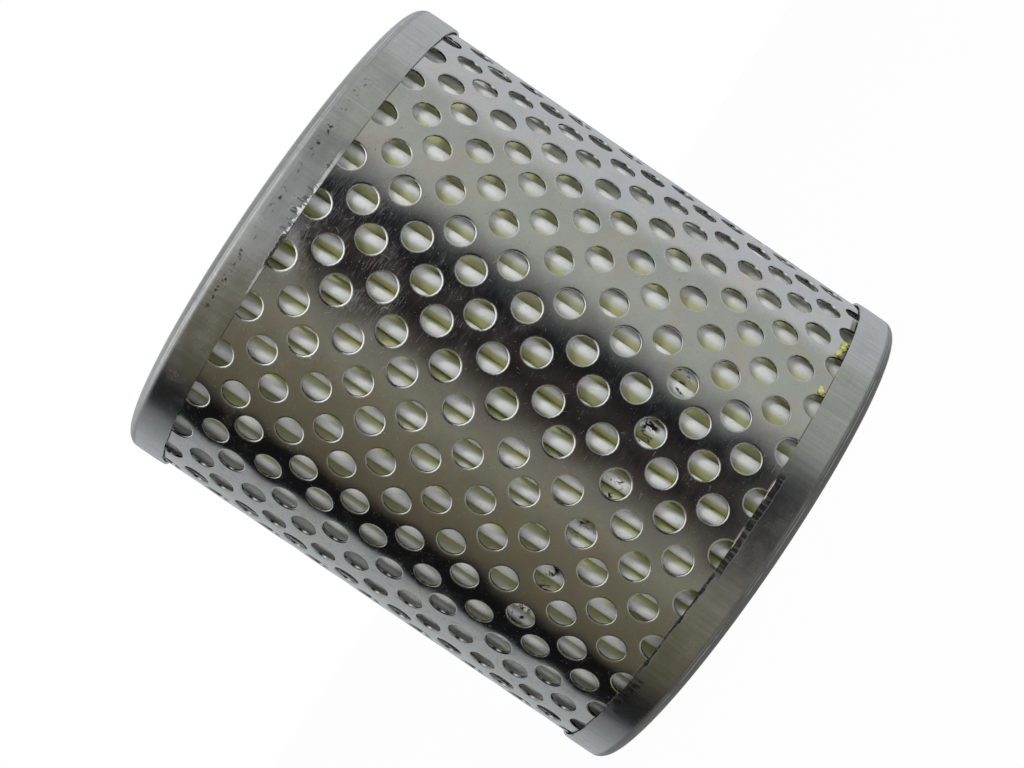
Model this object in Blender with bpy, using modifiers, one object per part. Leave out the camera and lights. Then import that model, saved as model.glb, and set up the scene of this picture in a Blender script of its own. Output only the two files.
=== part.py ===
"""Hydraulic pump filter element.

A pleated paper pack stands between a rolled perforated guard and a perforated
centre tube. Two pressed end caps close it, bedded in adhesive, and each holds
a rubber seal ring in its centre hole. Units are metres and +Z is up. The
element stands on its lower cap, with the origin at the centre of that face.
"""

import math

import bpy
import bmesh
from mathutils import Vector
from mathutils.geometry import delaunay_2d_cdt

# Overall
OVERALL_HEIGHT = 0.0975
CAP_DIAMETER = 0.0900

# Clearances
PIECE_GAP = 0.0003
PLEAT_OUTER_CLEARANCE = 0.00075
PLEAT_INNER_CLEARANCE = 0.0004

# End caps, pressed from thin sheet
CAP_SHEET = 0.0004
SKIRT_HEIGHT = 0.0073
CORNER_RADIUS = 0.0020
RIM_WIDTH = 0.0048
RECESS_DEPTH = 0.0016
RECESS_SLOPE = 0.0014
COLLAR_RADIUS = 0.0007
COLLAR_DEPTH = 0.0050

# Outer guard, a perforated strip rolled to a tube
GUARD_SHEET = 0.0004
GUARD_HOLE = 0.0050
GUARD_HOLE_PITCH = 0.00953
GUARD_RING_STEP = 0.00513
GUARD_RING_SHIFT = -0.00047
GUARD_EDGE_MARGIN = 0.0050
LAP_WIDTH = 0.0050
LAP_GAP = 0.0002
LAP_JOGGLE = 0.0020
SEAM_PLAIN_WIDTH = 0.0145
SEAM_ANGLE = math.radians(88.57)

# Centre tube
TUBE_DIAMETER = 0.0500
TUBE_SHEET = 0.0006
TUBE_HOLE = 0.0080
TUBE_HOLE_PITCH = 0.0160
TUBE_RING_STEP = 0.0100
TUBE_EDGE_MARGIN = 0.0100

# Pleated paper
PLEAT_PITCH = 0.00347
PAPER_THICKNESS = 0.0005
CREST_SHARE = 0.56
ROOT_SHARE = 0.40

# Adhesive beds and seal rings
POTTING_DEPTH = 0.0024
SEAL_THICKNESS = 0.0046
SEAL_LIP = 0.0008
SEAL_FLANGE_WIDTH = 0.0033
SEAL_FLANGE_THICKNESS = 0.0009

# Facets of the round pieces
CAP_STEPS = 36
SEAL_STEPS = 28
GUARD_HOLE_SIDES = 5
TUBE_HOLE_SIDES = 6
EDGE_STEP = 0.0048
WELD_DISTANCE = 0.00001

# Radii that follow from the sizes above
SKIRT_RADIUS = CAP_DIAMETER / 2
GUARD_RADIUS = SKIRT_RADIUS - CAP_SHEET - PIECE_GAP
LAP_DROP = GUARD_SHEET + LAP_GAP
GUARD_CLEAR_RADIUS = GUARD_RADIUS - GUARD_SHEET - LAP_DROP
CREST_RADIUS = GUARD_CLEAR_RADIUS - PLEAT_OUTER_CLEARANCE
TUBE_RADIUS = TUBE_DIAMETER / 2
ROOT_RADIUS = TUBE_RADIUS + PLEAT_INNER_CLEARANCE
COLLAR_BORE_RADIUS = TUBE_RADIUS - TUBE_SHEET - PIECE_GAP - CAP_SHEET

# Heights above the lower face; the upper half mirrors them
GUARD_END = CORNER_RADIUS
FLOOR_HEIGHT = RECESS_DEPTH + CAP_SHEET
TUBE_END = FLOOR_HEIGHT + PIECE_GAP
POTTING_TOP = TUBE_END + POTTING_DEPTH
PLEAT_END = POTTING_TOP + PIECE_GAP


def clear_scene():
    """Remove whatever the file starts with."""
    for item in list(bpy.data.objects):
        bpy.data.objects.remove(item, do_unlink=True)


def make_material(name, colour, roughness, metallic):
    """Principled material of one finish."""
    material = bpy.data.materials.new(name)
    material.use_nodes = True
    shader = material.node_tree.nodes["Principled BSDF"]
    shader.inputs["Base Color"].default_value = (*colour, 1.0)
    shader.inputs["Roughness"].default_value = roughness
    shader.inputs["Metallic"].default_value = metallic
    return material


def add_object(name, mesh, collection, material=None):
    """Wrap a mesh in a named object."""
    item = bpy.data.objects.new(name, mesh)
    collection.objects.link(item)
    if material is not None:
        mesh.materials.append(material)
    return item


def settled_mesh(item):
    """Mesh of an object with its modifiers worked out."""
    bpy.context.view_layer.update()
    graph = bpy.context.evaluated_depsgraph_get()
    return bpy.data.meshes.new_from_object(item.evaluated_get(graph))


def settle(item, crease=math.radians(35)):
    """Replace an object's modifiers by their result and shade it smooth."""
    rough = item.data
    item.data = settled_mesh(item)
    item.modifiers.clear()
    item.data.name = item.name
    bpy.data.meshes.remove(rough)
    item.data.shade_smooth()
    item.data.set_sharp_from_angle(angle=crease)


def upside_down(profile):
    """The same section for the upper end, still running down its outer side."""
    return [(radius, OVERALL_HEIGHT - height) for radius, height in reversed(profile)]


def turn(name, profile, steps, collection, material, sheet=None):
    """Revolve a section about Z: a closed solid, or a sheet of given thickness."""
    count = len(profile)
    edges = [(i, i + 1) for i in range(count - 1)]
    if sheet is None:
        edges.append((count - 1, 0))
    mesh = bpy.data.meshes.new(name)
    mesh.from_pydata([(radius, 0.0, height) for radius, height in profile], edges, [])
    item = add_object(name, mesh, collection, material)
    screw = item.modifiers.new("turn", "SCREW")
    screw.axis = "Z"
    screw.angle = math.tau
    screw.steps = steps
    screw.render_steps = steps
    screw.use_merge_vertices = True
    screw.merge_threshold = WELD_DISTANCE
    if sheet is not None:
        wall = item.modifiers.new("sheet", "SOLIDIFY")
        wall.thickness = sheet
        wall.offset = -1.0
        wall.use_even_offset = True
    settle(item)
    return item


def cap_section():
    """Outer side of the lower cap's sheet, from the skirt's edge to the collar's end."""
    corner = SKIRT_RADIUS - CORNER_RADIUS
    slant = CORNER_RADIUS * math.cos(math.pi / 4)
    rim_inner = corner - RIM_WIDTH
    return [
        (SKIRT_RADIUS, SKIRT_HEIGHT),
        (SKIRT_RADIUS, CORNER_RADIUS),
        (corner + slant, CORNER_RADIUS - slant),
        (corner, 0.0),
        (rim_inner, 0.0),
        (rim_inner - RECESS_SLOPE, RECESS_DEPTH),
        (COLLAR_BORE_RADIUS + COLLAR_RADIUS, RECESS_DEPTH),
        (COLLAR_BORE_RADIUS, RECESS_DEPTH + COLLAR_RADIUS),
        (COLLAR_BORE_RADIUS, RECESS_DEPTH + COLLAR_DEPTH),
    ]


def potting_section():
    """Adhesive bed of the lower cap, which fills the trough behind its rim."""
    outer = GUARD_CLEAR_RADIUS - PIECE_GAP
    inner = TUBE_RADIUS + PIECE_GAP
    trough = CAP_SHEET + PIECE_GAP
    rim_inner = SKIRT_RADIUS - CORNER_RADIUS - RIM_WIDTH
    return [
        (outer, POTTING_TOP),
        (outer, CORNER_RADIUS),
        (SKIRT_RADIUS - CORNER_RADIUS - PIECE_GAP - CAP_SHEET, trough),
        (rim_inner + PIECE_GAP, trough),
        (rim_inner - RECESS_SLOPE + PIECE_GAP, TUBE_END),
        (inner, TUBE_END),
        (inner, POTTING_TOP),
    ]


def seal_section():
    """Rubber ring: a body in the collar, a flange in the recess and a lip in the bore."""
    body = COLLAR_BORE_RADIUS - PIECE_GAP
    lip = body - SEAL_THICKNESS
    wall = lip + SEAL_LIP
    flange = COLLAR_BORE_RADIUS + SEAL_FLANGE_WIDTH
    flange_top = RECESS_DEPTH - PIECE_GAP
    flange_bottom = flange_top - SEAL_FLANGE_THICKNESS
    end = RECESS_DEPTH + COLLAR_DEPTH
    middle = (flange_bottom + end) / 2
    return [
        (flange, flange_top),
        (flange, flange_bottom),
        (wall, flange_bottom),
        (wall, middle - SEAL_LIP),
        (lip, middle),
        (wall, middle + SEAL_LIP),
        (wall, end),
        (body, end),
        (body, flange_top),
    ]


def equal_area_radius(diameter, sides):
    """Corner radius of the polygon that lets through as much as a round hole."""
    return diameter / 2 * math.sqrt(math.tau / (sides * math.sin(math.tau / sides)))


def staggered_holes(columns, half_pitch, rings, ring_step, middle):
    """Centres of a staggered pattern, centred on a flat strip."""
    centres = []
    for ring in range(rings):
        height = middle + (ring - (rings - 1) / 2) * ring_step
        for column in range((ring + 1) % 2, columns, 2):
            centres.append(((column - (columns - 1) / 2) * half_pitch, height))
    return centres


def evenly(marks, step):
    """Marks along a line, with equal stretches of at most a step between them."""
    line = [marks[0]]
    for start, end in zip(marks, marks[1:]):
        parts = math.ceil((end - start) / step)
        line.extend(start + (end - start) * i / parts for i in range(1, parts + 1))
    return line


def flat_strip(name, length, low, high, centres, corner_radius, sides, bends, step):
    """Flat perforated strip, with a row of points along each edge and bend line."""
    points = []
    edges = []
    owners = []

    def add_chain(chain, closed=False, owner=None):
        first = len(points)
        points.extend(chain)
        owners.extend([owner] * len(chain))
        edges.extend((first + i, first + i + 1) for i in range(len(chain) - 1))
        if closed:
            edges.append((first + len(chain) - 1, first))

    across = evenly([-length / 2, *bends, length / 2], step)
    up = evenly([low, high], 2 * step)
    outline = [(x, low) for x in across]
    outline += [(length / 2, y) for y in up[1:]]
    outline += [(x, high) for x in reversed(across[:-1])]
    outline += [(-length / 2, y) for y in reversed(up[1:-1])]
    add_chain(outline, closed=True)
    for bend in bends:
        add_chain([(bend, y) for y in up])
    for index, (x, y) in enumerate(centres):
        corners = [math.pi / 2 + math.tau * i / sides for i in range(sides)]
        hole = [(x + corner_radius * math.cos(a), y + corner_radius * math.sin(a)) for a in corners]
        add_chain(hole, closed=True, owner=index)

    inside_only = 1
    cut = delaunay_2d_cdt([Vector(point) for point in points], edges, [], inside_only, WELD_DISTANCE / 100)
    corners, _, faces, sources = cut[:4]
    owner_of = [owners[source[0]] if source else None for source in sources]
    solid = [face for face in faces
             if owner_of[face[0]] is None or len({owner_of[corner] for corner in face}) > 1]
    mesh = bpy.data.meshes.new(name)
    mesh.from_pydata([(corner.x, corner.y, 0.0) for corner in corners], [], solid)
    return mesh


def rolled_tube(name, radius, sheet, end, pattern, lap, seam_angle, collection, material):
    """Perforated strip rolled about Z, either lapped or welded edge to edge."""
    length = math.tau * radius + lap
    low, high = end, OVERALL_HEIGHT - end
    middle = OVERALL_HEIGHT / 2 + pattern["shift"]
    rings = 1 + 2 * math.floor(((high - low) / 2 - pattern["margin"]) / pattern["ring_step"])
    half_pitch = pattern["pitch"] / 2
    if lap > 0:
        columns = 1 + math.floor((math.tau * radius - SEAM_PLAIN_WIDTH) / half_pitch)
        joggle_start = lap - length / 2 + PIECE_GAP
        bends = [joggle_start, joggle_start + LAP_JOGGLE, length / 2 - lap]
    else:
        columns = 2 * round(math.tau * radius / pattern["pitch"])
        half_pitch = math.tau * radius / columns
        bends = []
    centres = staggered_holes(columns, half_pitch, rings, pattern["ring_step"], middle)
    corner_radius = equal_area_radius(pattern["hole"], pattern["sides"])
    mesh = flat_strip(name, length, low, high, centres, corner_radius, pattern["sides"],
                      bends, EDGE_STEP)
    item = add_object(name, mesh, collection, material)
    wall = item.modifiers.new("sheet", "SOLIDIFY")
    wall.thickness = sheet
    wall.offset = -1.0
    settle(item)

    blank = bmesh.new()
    blank.from_mesh(item.data)
    if lap == 0:
        ends = [face for face in blank.faces
                if abs(face.calc_center_median().x) > length / 2 - WELD_DISTANCE]
        bmesh.ops.delete(blank, geom=ends, context="FACES_ONLY")
    for vert in blank.verts:
        x, y, depth = vert.co
        drop = 0.0
        if lap > 0:
            drop = LAP_DROP * min(1.0, max(0.0, (bends[1] - x) / LAP_JOGGLE))
        angle = seam_angle + math.pi + x / radius
        reach = radius + depth - drop
        vert.co = (reach * math.cos(angle), reach * math.sin(angle), y)
    bmesh.ops.remove_doubles(blank, verts=blank.verts, dist=WELD_DISTANCE)
    blank.to_mesh(item.data)
    blank.free()
    item.data.shade_smooth()
    item.data.set_sharp_from_angle(angle=math.radians(50))
    return item


def pleated_pack(name, collection, material):
    """One sheet of paper folded to a star, with broad crests and narrow roots."""
    count = round(math.tau * CREST_RADIUS / PLEAT_PITCH)
    share = math.tau / count
    crest = CREST_RADIUS - PAPER_THICKNESS / 2
    root = ROOT_RADIUS + PAPER_THICKNESS / 2
    fold = [
        (-CREST_SHARE / 2, crest),
        (CREST_SHARE / 2, crest),
        (0.5 - ROOT_SHARE / 2, root),
        (0.5 + ROOT_SHARE / 2, root),
    ]
    outline = []
    for pleat in range(count):
        for place, radius in fold:
            angle = (pleat + place) * share
            outline.append((radius * math.cos(angle), radius * math.sin(angle)))
    total = len(outline)
    low = [(x, y, PLEAT_END) for x, y in outline]
    high = [(x, y, OVERALL_HEIGHT - PLEAT_END) for x, y in outline]
    faces = [(i, (i + 1) % total, total + (i + 1) % total, total + i) for i in range(total)]
    mesh = bpy.data.meshes.new(name)
    mesh.from_pydata(low + high, [], faces)
    item = add_object(name, mesh, collection, material)
    wall = item.modifiers.new("paper", "SOLIDIFY")
    wall.thickness = PAPER_THICKNESS
    wall.offset = 0.0
    wall.use_even_offset = True
    settle(item)
    return item


def build():
    """Make every piece of the element."""
    clear_scene()
    element = bpy.data.collections.new("hydraulic_pump_filter")
    bpy.context.scene.collection.children.link(element)

    tinplate = make_material("tinplate", (0.66, 0.66, 0.64), 0.26, 1.0)
    cap_steel = make_material("cap_steel", (0.50, 0.50, 0.48), 0.42, 1.0)
    tube_steel = make_material("tube_steel", (0.42, 0.42, 0.41), 0.45, 1.0)
    paper = make_material("filter_paper", (0.80, 0.80, 0.73), 0.55, 0.0)
    adhesive = make_material("adhesive", (0.66, 0.58, 0.18), 0.40, 0.0)
    rubber = make_material("rubber", (0.02, 0.02, 0.02), 0.60, 0.0)

    guard_pattern = {
        "hole": GUARD_HOLE, "sides": GUARD_HOLE_SIDES, "pitch": GUARD_HOLE_PITCH,
        "ring_step": GUARD_RING_STEP, "margin": GUARD_EDGE_MARGIN, "shift": GUARD_RING_SHIFT,
    }
    tube_pattern = {
        "hole": TUBE_HOLE, "sides": TUBE_HOLE_SIDES, "pitch": TUBE_HOLE_PITCH,
        "ring_step": TUBE_RING_STEP, "margin": TUBE_EDGE_MARGIN, "shift": 0.0,
    }
    rolled_tube("outer_guard", GUARD_RADIUS, GUARD_SHEET, GUARD_END, guard_pattern,
                LAP_WIDTH, SEAM_ANGLE, element, tinplate)
    rolled_tube("centre_tube", TUBE_RADIUS, TUBE_SHEET, TUBE_END, tube_pattern,
                0.0, SEAM_ANGLE, element, tube_steel)
    pleated_pack("pleated_media", element, paper)

    for place, turned in (("lower", list), ("upper", upside_down)):
        turn(place + "_end_cap", turned(cap_section()), CAP_STEPS, element, cap_steel, CAP_SHEET)
        turn(place + "_potting", turned(potting_section()), CAP_STEPS, element, adhesive)
        turn(place + "_seal", turned(seal_section()), SEAL_STEPS, element, rubber)


build()
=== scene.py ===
"""Studio picture of the hydraulic pump filter.

A rolled guard with punched holes stands round a pleated paper pack, between two
pressed end caps. Each piece is modelled flat or as a section, then rolled or
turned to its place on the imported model. Units are metres and +Z is up.
"""

import math

import bmesh
import bpy
import numpy as np
from mathutils import Matrix, Vector, noise


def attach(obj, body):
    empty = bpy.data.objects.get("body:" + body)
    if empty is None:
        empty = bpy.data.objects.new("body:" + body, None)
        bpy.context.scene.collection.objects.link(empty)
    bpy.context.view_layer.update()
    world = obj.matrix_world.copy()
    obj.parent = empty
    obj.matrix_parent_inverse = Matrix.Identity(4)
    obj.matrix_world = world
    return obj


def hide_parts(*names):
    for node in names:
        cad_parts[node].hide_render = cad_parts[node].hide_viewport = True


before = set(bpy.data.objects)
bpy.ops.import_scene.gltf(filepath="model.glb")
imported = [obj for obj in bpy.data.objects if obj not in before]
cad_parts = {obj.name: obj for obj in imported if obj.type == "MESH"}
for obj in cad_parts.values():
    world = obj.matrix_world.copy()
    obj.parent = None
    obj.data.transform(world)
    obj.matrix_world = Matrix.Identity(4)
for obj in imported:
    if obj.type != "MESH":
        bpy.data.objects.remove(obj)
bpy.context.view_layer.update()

MM = 0.001
HEIGHT = 97.5 * MM
MIDDLE = HEIGHT / 2
SHEET = 0.4 * MM
GAP = 0.3 * MM
WELD = 0.01 * MM

# End caps
SKIRT_RADIUS = 45.0 * MM
SKIRT_HEIGHT = 7.3 * MM
CORNER_RADIUS = 2.0 * MM
RIM_INNER = 38.6 * MM
RECESS_DEPTH = 1.6 * MM
PRESS_RADIUS = 0.5 * MM
COLLAR_BORE = 23.7 * MM
COLLAR_RADIUS = 0.7 * MM
COLLAR_END = 6.6 * MM
CAP_STEPS = 240
SEAL_STEPS = 120

# Guard
GUARD_RADIUS = 44.3 * MM
GUARD_END = 2.0 * MM
HOLE_RADIUS = 2.34 * MM
ROLL_WIDTH = 0.40 * MM
ROLL_DEPTH = 0.30 * MM
ROLL_TURN = math.radians(56)
HALF_PITCH = 4.765 * MM
RING_STEP = 5.13 * MM
RINGS = 17
FIRST_RING = 7.24 * MM
HOLES_PER_RING = 28
DISH = math.radians(0.9)
HOLE_SIDES = 20
LAP = 5.0 * MM
LAP_DROP = 0.6 * MM
LAP_JOGGLE = 2.0 * MM
SEAM_ANGLE = math.radians(88.57)
STRIP = math.tau * GUARD_RADIUS + LAP
# How far each ring of holes sits off its even place, along and up, in millimetres
RING_DRIFT = [(0.0, 0.1), (0.04, 0.35), (0.12, 0.08), (0.19, -0.30), (-0.32, -0.57), (-0.48, -0.08),
              (0.12, 0.08), (-0.35, -0.27), (0.09, 0.27), (0.36, 0.20), (0.05, 0.46), (0.27, 0.27),
              (-0.21, -0.08), (-0.11, -0.24), (0.23, 0.20), (-0.02, -0.38), (0.0, 0.0)]

# Centre tube
TUBE_RADIUS = 25.0 * MM
TUBE_SHEET = 0.6 * MM
TUBE_END = 2.3 * MM
TUBE_SEAM = 0.04 * MM
TUBE_HOLE_RADIUS = 3.6 * MM
TUBE_ROLL_WIDTH = 0.3 * MM
TUBE_ROLL_DEPTH = 0.25 * MM
TUBE_HOLE_SIDES = 24
TUBE_HOLES_PER_RING = 10
TUBE_RINGS = 7
TUBE_RING_STEP = 10.0 * MM

# Paper
PLEATS = 77
CREST_RADIUS = 42.55 * MM
ROOT_RADIUS = 25.4 * MM
PAPER = 0.5 * MM
PLEAT_END = 5.0 * MM
PLEAT_ROWS = 12
# Where the crests at the front stand, in degrees from the front towards -X
SEEN_CRESTS = [-53, -47, -41.5, -33.5, -28, -23, -19, -14, -8.5, -4, 0.5, 5, 10, 14, 18, 21.5, 26, 30.5,
               36.5, 42.5]

# Camera
CAMERA_DISTANCE = 370.8 * MM
CAMERA_HEIGHT = 48.6 * MM
CAMERA_TILT = math.radians(0.47)
CAMERA_ROLL = math.radians(55.853)
CAMERA_LENS = 75.2


# Bench tools

def clear_selection():
    """Nothing selected, and no object in edit mode."""
    if bpy.context.object and bpy.context.object.mode != "OBJECT":
        bpy.ops.object.mode_set(mode="OBJECT")
    bpy.ops.object.select_all(action="DESELECT")


def take(piece):
    """Make one piece the only selected and active one."""
    clear_selection()
    piece.select_set(True)
    bpy.context.view_layer.objects.active = piece
    return piece


def named(name):
    """Name the primitive that was just added, and its mesh."""
    piece = bpy.context.object
    piece.name = name
    piece.data.name = name
    return piece


def pick(piece, test, kind="verts"):
    """In edit mode, select only the points or edges that pass a test."""
    mesh = bmesh.from_edit_mesh(piece.data)
    for group in (mesh.faces, mesh.edges, mesh.verts):
        for item in group:
            item.select = False
    mesh.select_mode = {"verts": {"VERT"}, "edges": {"EDGE"}}[kind]
    for item in getattr(mesh, kind):
        if test(item):
            item.select_set(True)
    mesh.select_flush_mode()
    bmesh.update_edit_mesh(piece.data)


def join(pieces, name):
    """One object from several."""
    take(pieces[0])
    for piece in pieces[1:]:
        piece.select_set(True)
    bpy.ops.object.join()
    return named(name)


def repeat(piece, count, step):
    """A row of copies of a piece."""
    row = take(piece).modifiers.new("row", "ARRAY")
    row.count = count
    row.use_relative_offset = False
    row.use_constant_offset = True
    row.constant_offset_displace = step
    bpy.ops.object.modifier_apply(modifier=row.name)


def points_of(piece):
    """All points of a mesh, one row each."""
    flat = np.empty(len(piece.data.vertices) * 3)
    piece.data.vertices.foreach_get("co", flat)
    return flat.reshape(-1, 3)


def move_points(piece, points):
    """Put the points of a mesh in new places."""
    piece.data.vertices.foreach_set("co", np.ascontiguousarray(points).ravel())
    piece.data.update()


def smooth(piece, degrees):
    """Smooth shading with sharp edges above an angle."""
    take(piece)
    bpy.ops.object.shade_smooth_by_angle(angle=math.radians(degrees))


def weld(piece, outward=True):
    """Merge doubled points and turn all faces outward."""
    take(piece)
    bpy.ops.object.mode_set(mode="EDIT")
    bpy.ops.mesh.select_all(action="SELECT")
    bpy.ops.mesh.remove_doubles(threshold=WELD)
    if outward:
        bpy.ops.mesh.normals_make_consistent(inside=False)
    bpy.ops.object.mode_set(mode="OBJECT")


def drawn_line(name, points):
    """In edit mode, draw a chain of points, each extruded from the one before."""
    clear_selection()
    bpy.ops.mesh.primitive_plane_add(size=MM)
    piece = named(name)
    bpy.ops.object.mode_set(mode="EDIT")
    bpy.ops.mesh.select_all(action="SELECT")
    bpy.ops.mesh.merge(type="CENTER")
    bpy.ops.transform.translate(value=points[0])
    for start, end in zip(points, points[1:]):
        step = tuple(b - a for a, b in zip(start, end))
        bpy.ops.mesh.extrude_vertices_move(TRANSFORM_OT_translate={"value": step})
    bpy.ops.mesh.select_all(action="SELECT")
    return piece


def fit(piece, slot, material, *nodes):
    """Give a finished piece its material, its body and the nodes it stands for."""
    piece.data.materials.clear()
    piece.data.materials.append(material)
    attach(piece, "root")
    if nodes:
        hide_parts(*nodes)


# Material bench

class Channel:
    """A value, colour or vector on its way through a material."""

    def __init__(self, finish, socket):
        self.finish = finish
        self.socket = socket

    def _math(self, operation, first, second):
        return self.finish.node("Math", {"operation": operation}, {0: first, 1: second})

    def __add__(self, other):
        return self._math("ADD", self, other)

    def __sub__(self, other):
        return self._math("SUBTRACT", self, other)

    def __rsub__(self, other):
        return self._math("SUBTRACT", other, self)

    def __mul__(self, other):
        return self._math("MULTIPLY", self, other)

    def __truediv__(self, other):
        return self._math("DIVIDE", self, other)

    def __rtruediv__(self, other):
        return self._math("DIVIDE", other, self)

    def __pow__(self, other):
        return self._math("POWER", self, other)

    def __rpow__(self, other):
        return self._math("POWER", other, self)

    __radd__ = __add__
    __rmul__ = __mul__


class Finish:
    """The node tree of one material, or of the room."""

    def __init__(self, name, tree=None):
        self.material = None
        if tree is None:
            self.material = bpy.data.materials.new(name)
            self.material.use_nodes = True
            tree = self.material.node_tree
        self.tree = tree
        self.shader = tree.nodes.get("Principled BSDF")

    def node(self, kind, settings=None, values=None, out=None):
        """Make one node: its settings first, then the values or links of its sockets."""
        made = self.tree.nodes.new("ShaderNode" + kind)
        for key, value in (settings or {}).items():
            if key == "stops":
                ramp = made.color_ramp
                while len(ramp.elements) < len(value):
                    ramp.elements.new(1.0)
                for element, (place, colour) in zip(ramp.elements, value):
                    element.position = place
                    element.color = (*colour, 1.0) if len(colour) == 3 else colour
            else:
                setattr(made, key, value)
        for key, value in (values or {}).items():
            self.feed(made.inputs[key], value)
        if out is not None:
            return Channel(self, made.outputs[out])
        return Channel(self, next(socket for socket in made.outputs if socket.enabled))

    def feed(self, socket, value):
        """Link a channel to a socket, or set its constant."""
        if isinstance(value, Channel):
            self.tree.links.new(value.socket, socket)
        elif socket.type == "RGBA" and len(value) == 3:
            socket.default_value = (*value, 1.0)
        else:
            socket.default_value = value

    def place(self, scale=(1, 1, 1), turn=(0, 0, 0), move=(0, 0, 0)):
        """Object coordinates, stretched, turned or moved."""
        where = self.node("TexCoord", out="Object")
        return self.node("Mapping", None, {"Vector": where, "Scale": scale, "Rotation": turn,
                                           "Location": move})

    def noise(self, where, scale, detail=2.0, rough=0.5, bend=0.0):
        """Soft cloudy value from 0 to 1."""
        return self.node("TexNoise", None, {"Vector": where, "Scale": scale, "Detail": detail,
                                            "Roughness": rough, "Distortion": bend}, "Fac")

    def rise(self, value, low, high):
        """0 below low, 1 above high, and a soft step between."""
        return self.node("MapRange", {"interpolation_type": "SMOOTHSTEP"},
                         {"Value": value, "From Min": low, "From Max": high})

    def mix(self, share, first, second):
        """Blend of two colours."""
        return self.node("Mix", {"data_type": "RGBA"}, {0: share, 6: first, 7: second}, 2)

    def grey(self, value):
        """A value as a colour, for the shader's colour inputs."""
        return self.node("CombineColor", None, {0: value, 1: value, 2: value})

    def parts(self, where):
        """The three numbers of a vector."""
        split = self.node("SeparateXYZ", None, {0: where})
        return [Channel(self, socket) for socket in split.socket.node.outputs]

    def facing(self, x, y):
        """Which way a point on the filter faces, in degrees from the front towards -X."""
        return self.node("Math", {"operation": "ARCTAN2"}, {0: 0.0 - x, 1: 0.0 - y}) * (180 / math.pi)

    def within(self, value, start, end, soft):
        """1 from start to end, with soft ends."""
        return self.rise(value, start - soft, start + soft) * (1 - self.rise(value, end - soft, end + soft))

    def apart(self, first, second):
        """How far two values are apart."""
        return self.node("Math", {"operation": "ABSOLUTE"}, {0: first - second})

    def relief(self, height, depth, normal=None):
        """Bumps of a given real depth, over any bumps given before."""
        values = {"Height": height, "Distance": depth, "Strength": 1.0}
        if normal is not None:
            values["Normal"] = normal
        return self.node("Bump", None, values)

    def surface(self, **values):
        """Set the shader's own sockets."""
        for key, value in values.items():
            self.feed(self.shader.inputs[key.replace("_", " ")], value)
        return self.material


# Guard

def diamond_point(share, half_width, half_height):
    """Point of a diamond's outline, at a share of the way round from its right corner."""
    corners = [(half_width, 0.0), (0.0, half_height), (-half_width, 0.0), (0.0, -half_height)]
    side = int(share * 4) % 4
    along = share * 4 - int(share * 4)
    (x0, y0), (x1, y1) = corners[side], corners[(side + 1) % 4]
    return x0 + (x1 - x0) * along, y0 + (y1 - y0) * along


def spread_to_diamond(piece, half_width, half_height):
    """Move the selected ring of points out to the diamond cell's edge."""
    mesh = bmesh.from_edit_mesh(piece.data)
    ring = [vert for vert in mesh.verts if vert.select]
    for vert in ring:
        share = (math.atan2(vert.co.y, vert.co.x) / math.tau) % 1.0
        share = round(share * len(ring)) / len(ring) % 1.0
        vert.co.x, vert.co.y = diamond_point(share, half_width, half_height)
    bmesh.update_edit_mesh(piece.data)


def punched_cell(name, radius, roll_width, roll_depth, sheet, half_width, half_height, sides):
    """One diamond of sheet with a punched hole, whose edge is rolled in by the punch."""
    clear_selection()
    bpy.ops.mesh.primitive_circle_add(vertices=sides, radius=radius + roll_width)
    cell = named(name)
    bpy.ops.object.mode_set(mode="EDIT")
    bpy.ops.mesh.select_all(action="SELECT")
    reach = radius + roll_width * (1 - math.sin(ROLL_TURN))
    depth = roll_depth * (1 - math.cos(ROLL_TURN))
    for new_reach, drop, old_reach in ((reach, -depth, radius + roll_width), (radius, depth - sheet, reach)):
        bpy.ops.mesh.extrude_region_move(TRANSFORM_OT_translate={"value": (0, 0, drop)})
        size = new_reach / old_reach
        bpy.ops.transform.resize(value=(size, size, 1), center_override=(0, 0, 0))
    bpy.ops.mesh.extrude_region_move(TRANSFORM_OT_translate={"value": (0, 0, 0)})
    spread_to_diamond(cell, half_width, half_height)
    pick(cell, lambda edge: all(vert.co.z > -WELD / 10 for vert in edge.verts), "edges")
    bpy.ops.mesh.extrude_region_move(TRANSFORM_OT_translate={"value": (0, 0, 0)})
    spread_to_diamond(cell, half_width, half_height)
    bpy.ops.object.mode_set(mode="OBJECT")
    return cell


def blank_cell(name, sheet, half_width, half_height, sides):
    """One diamond of plain sheet, with the same points along its sides."""
    clear_selection()
    bpy.ops.mesh.primitive_grid_add(x_subdivisions=sides // 4, y_subdivisions=sides // 4, size=2)
    cell = named(name)
    for vert in cell.data.vertices:
        x, y = vert.co.x, vert.co.y
        vert.co = (half_width * (x - y) / 2, half_height * (x + y) / 2, 0.0)
    bpy.ops.object.mode_set(mode="EDIT")
    bpy.ops.mesh.select_all(action="SELECT")
    bpy.ops.mesh.duplicate_move(TRANSFORM_OT_translate={"value": (0, 0, -sheet)})
    bpy.ops.object.mode_set(mode="OBJECT")
    return cell


def laid_out(cell, first, columns, rows, half_width, half_height):
    """Copies of a cell at every second place and in every second ring, from the first one's place."""
    copy = cell.copy()
    copy.data = cell.data.copy()
    bpy.context.collection.objects.link(copy)
    take(copy)
    shift = Matrix.Translation((*first, 0.0))
    copy.data.transform(shift)
    if columns > 1:
        repeat(copy, columns, (2 * half_width, 0, 0))
    if rows > 1:
        repeat(copy, rows, (0, 2 * half_height, 0))
    return copy


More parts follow.
